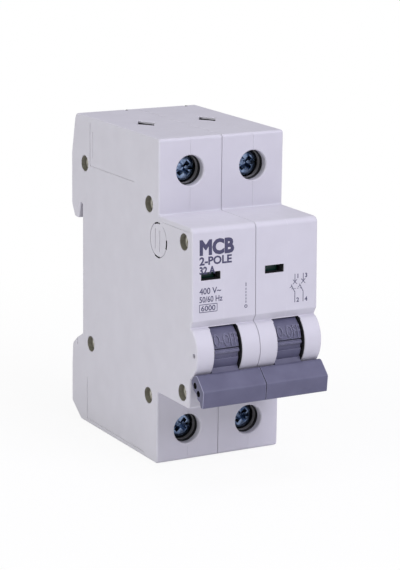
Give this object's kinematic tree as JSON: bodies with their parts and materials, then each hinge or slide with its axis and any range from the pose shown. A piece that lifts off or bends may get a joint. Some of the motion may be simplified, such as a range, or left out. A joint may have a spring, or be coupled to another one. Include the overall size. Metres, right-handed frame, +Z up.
{
  "type": "circuit breaker",
  "caption": "Two-pole modular circuit breaker in pale plastic for a top-hat rail, with a linked toggle bar, terminal screws, indicator windows and a complete mechanism inside.",
  "frame": {"origin": "middle of the bottom of the whole object's box, on the bottom face that it stands on", "axes": "+X across the poles to the right as seen from the front, -Y towards the front with the toggles, +Z up"},
  "size_m": [0.0356, 0.0738, 0.0833],
  "materials": {
    "housing": "fine moulded texture",
    "toggle": "satin",
    "indicator": "smooth",
    "zinc": "zinc plated",
    "steel": "drawn",
    "copper": "bare copper",
    "brass": "rolled",
    "nylon": "natural"
  },
  "bodies": {
    "housing": {"pole_1_left_shell": "housing", "pole_1_right_shell": "housing", "pole_1_line_conductor": "copper", "pole_1_load_conductor": "copper", "pole_1_fixed_contact": "copper", "pole_1_solenoid_coil": "copper", "pole_1_solenoid_yoke": "steel", "pole_1_plunger_spring": "steel", "pole_1_braid": "copper", "pole_1_arc_chute": "steel", "pole_1_arm_pivot_pin": "steel", "pole_1_contact_spring": "steel", "pole_1_toggle_spring": "steel", "pole_2_left_shell": "housing", "pole_2_right_shell": "housing", "pole_2_line_conductor": "copper", "pole_2_load_conductor": "copper", "pole_2_fixed_contact": "copper", "pole_2_solenoid_coil": "copper", "pole_2_solenoid_yoke": "steel", "pole_2_plunger_spring": "steel", "pole_2_braid": "copper", "pole_2_arc_chute": "steel", "pole_2_arm_pivot_pin": "steel", "pole_2_contact_spring": "steel", "pole_2_toggle_spring": "steel", "rivet_upper_rear": "steel", "rivet_upper_middle": "steel", "rivet_upper_front": "steel", "rivet_lower_rear": "steel", "rivet_lower_middle": "steel", "rivet_lower_front": "steel"},
    "toggles": {"pole_1_toggle": "toggle", "pole_2_toggle": "toggle", "tie_pin_1": "steel", "tie_pin_2": "steel"},
    "trip_shaft": {"pole_1_trip_lever": "nylon", "pole_2_trip_lever": "nylon", "trip_coupling_bar": "steel"},
    "pole_1_arm": {"pole_1_contact_arm": "copper"},
    "pole_1_link": {"pole_1_drive_link": "steel"},
    "pole_1_flag": {"pole_1_indicator_flag": "indicator"},
    "pole_1_plunger": {"pole_1_plunger": "steel"},
    "pole_1_bimetal": {"pole_1_bimetal_strip": "brass"},
    "pole_1_latch": {"pole_1_din_clip": "nylon"},
    "pole_1_upper_screw": {"pole_1_upper_screw": "zinc"},
    "pole_1_upper_cage": {"pole_1_upper_cage": "zinc"},
    "pole_1_lower_screw": {"pole_1_lower_screw": "zinc"},
    "pole_1_lower_cage": {"pole_1_lower_cage": "zinc"},
    "pole_2_arm": {"pole_2_contact_arm": "copper"},
    "pole_2_link": {"pole_2_drive_link": "steel"},
    "pole_2_flag": {"pole_2_indicator_flag": "indicator"},
    "pole_2_plunger": {"pole_2_plunger": "steel"},
    "pole_2_bimetal": {"pole_2_bimetal_strip": "brass"},
    "pole_2_latch": {"pole_2_din_clip": "nylon"},
    "pole_2_upper_screw": {"pole_2_upper_screw": "zinc"},
    "pole_2_upper_cage": {"pole_2_upper_cage": "zinc"},
    "pole_2_lower_screw": {"pole_2_lower_screw": "zinc"},
    "pole_2_lower_cage": {"pole_2_lower_cage": "zinc"}
  },
  "joints": [
    {"name": "toggle", "type": "hinge", "parent": "housing", "child": "toggles", "pos_m": [0, -0.0257, 0.033], "axis": [-1, 0, 0], "range_deg": [0, 82]},
    {"name": "trip", "type": "hinge", "parent": "housing", "child": "trip_shaft", "pos_m": [0, 0.0003, 0.05], "axis": [-1, 0, 0], "range_deg": [0, 7], "stiffness_Nm_per_rad": 0.01, "springref_deg": -17.19},
    {"name": "pole_1_arm_swing", "type": "hinge", "parent": "housing", "child": "pole_1_arm", "pos_m": [-0.00895, -0.0027, 0.033], "axis": [1, 0, 0], "range_deg": [0, 23]},
    {"name": "pole_1_link_swing", "type": "hinge", "parent": "toggles", "child": "pole_1_link", "pos_m": [-0.00895, -0.02193, 0.03628], "axis": [1, 0, 0], "range_deg": [0, 99]},
    {"name": "pole_1_flag_slide", "type": "slide", "parent": "housing", "child": "pole_1_flag", "axis": [0, 0, 1], "range_m": [0, 0.0042]},
    {"name": "pole_1_plunger_slide", "type": "slide", "parent": "housing", "child": "pole_1_plunger", "axis": [0, 0, -1], "range_m": [0, 0.003], "stiffness_N_per_m": 100, "springref_m": -0.003, "deforming": ["pole_1_plunger_spring"]},
    {"name": "pole_1_bimetal_bend", "type": "hinge", "parent": "housing", "child": "pole_1_bimetal", "pos_m": [-0.00895, -0.0035, 0.066], "axis": [1, 0, 0], "range_deg": [0, 4], "stiffness_Nm_per_rad": 0.05},
    {"name": "pole_1_latch_slide", "type": "slide", "parent": "housing", "child": "pole_1_latch", "axis": [0, 0, 1], "range_m": [0, 0.002]},
    {"name": "pole_1_upper_screw_turn", "type": "hinge", "parent": "housing", "child": "pole_1_upper_screw", "pos_m": [-0.00895, -0.0091, 0.0749], "axis": [0, 1, 0], "range_deg": [0, 1800]},
    {"name": "pole_1_upper_cage_slide", "type": "slide", "parent": "housing", "child": "pole_1_upper_cage", "axis": [0, -1, 0], "range_m": [0, 0.004]},
    {"name": "pole_1_lower_screw_turn", "type": "hinge", "parent": "housing", "child": "pole_1_lower_screw", "pos_m": [-0.00895, -0.0091, 0.0082], "axis": [0, 1, 0], "range_deg": [0, 1800]},
    {"name": "pole_1_lower_cage_slide", "type": "slide", "parent": "housing", "child": "pole_1_lower_cage", "axis": [0, -1, 0], "range_m": [0, 0.004]},
    {"name": "pole_2_arm_swing", "type": "hinge", "parent": "housing", "child": "pole_2_arm", "pos_m": [0.00895, -0.0027, 0.033], "axis": [1, 0, 0], "range_deg": [0, 23]},
    {"name": "pole_2_link_swing", "type": "hinge", "parent": "toggles", "child": "pole_2_link", "pos_m": [0.00895, -0.02193, 0.03628], "axis": [1, 0, 0], "range_deg": [0, 99]},
    {"name": "pole_2_flag_slide", "type": "slide", "parent": "housing", "child": "pole_2_flag", "axis": [0, 0, 1], "range_m": [0, 0.0042]},
    {"name": "pole_2_plunger_slide", "type": "slide", "parent": "housing", "child": "pole_2_plunger", "axis": [0, 0, -1], "range_m": [0, 0.003], "stiffness_N_per_m": 100, "springref_m": -0.003, "deforming": ["pole_2_plunger_spring"]},
    {"name": "pole_2_bimetal_bend", "type": "hinge", "parent": "housing", "child": "pole_2_bimetal", "pos_m": [0.00895, -0.0035, 0.066], "axis": [1, 0, 0], "range_deg": [0, 4], "stiffness_Nm_per_rad": 0.05},
    {"name": "pole_2_latch_slide", "type": "slide", "parent": "housing", "child": "pole_2_latch", "axis": [0, 0, 1], "range_m": [0, 0.002]},
    {"name": "pole_2_upper_screw_turn", "type": "hinge", "parent": "housing", "child": "pole_2_upper_screw", "pos_m": [0.00895, -0.0091, 0.0749], "axis": [0, 1, 0], "range_deg": [0, 1800]},
    {"name": "pole_2_upper_cage_slide", "type": "slide", "parent": "housing", "child": "pole_2_upper_cage", "axis": [0, -1, 0], "range_m": [0, 0.004]},
    {"name": "pole_2_lower_screw_turn", "type": "hinge", "parent": "housing", "child": "pole_2_lower_screw", "pos_m": [0.00895, -0.0091, 0.0082], "axis": [0, 1, 0], "range_deg": [0, 1800]},
    {"name": "pole_2_lower_cage_slide", "type": "slide", "parent": "housing", "child": "pole_2_lower_cage", "axis": [0, -1, 0], "range_m": [0, 0.004]}
  ],
  "couplings": [
    {"joint": "pole_1_arm_swing", "follows": "toggle", "ratio": 0.28},
    {"joint": "pole_1_link_swing", "follows": "toggle", "ratio": 1.205},
    {"joint": "pole_1_flag_slide", "follows": "toggle", "m_per_rad": 0.00293},
    {"joint": "pole_1_upper_screw_turn", "follows": "pole_1_upper_cage_slide", "rad_per_m": 7853.9},
    {"joint": "pole_1_lower_screw_turn", "follows": "pole_1_lower_cage_slide", "rad_per_m": 7853.9},
    {"joint": "pole_2_arm_swing", "follows": "toggle", "ratio": 0.28},
    {"joint": "pole_2_link_swing", "follows": "toggle", "ratio": 1.205},
    {"joint": "pole_2_flag_slide", "follows": "toggle", "m_per_rad": 0.00293},
    {"joint": "pole_2_upper_screw_turn", "follows": "pole_2_upper_cage_slide", "rad_per_m": 7853.9},
    {"joint": "pole_2_lower_screw_turn", "follows": "pole_2_lower_cage_slide", "rad_per_m": 7853.9}
  ]
}
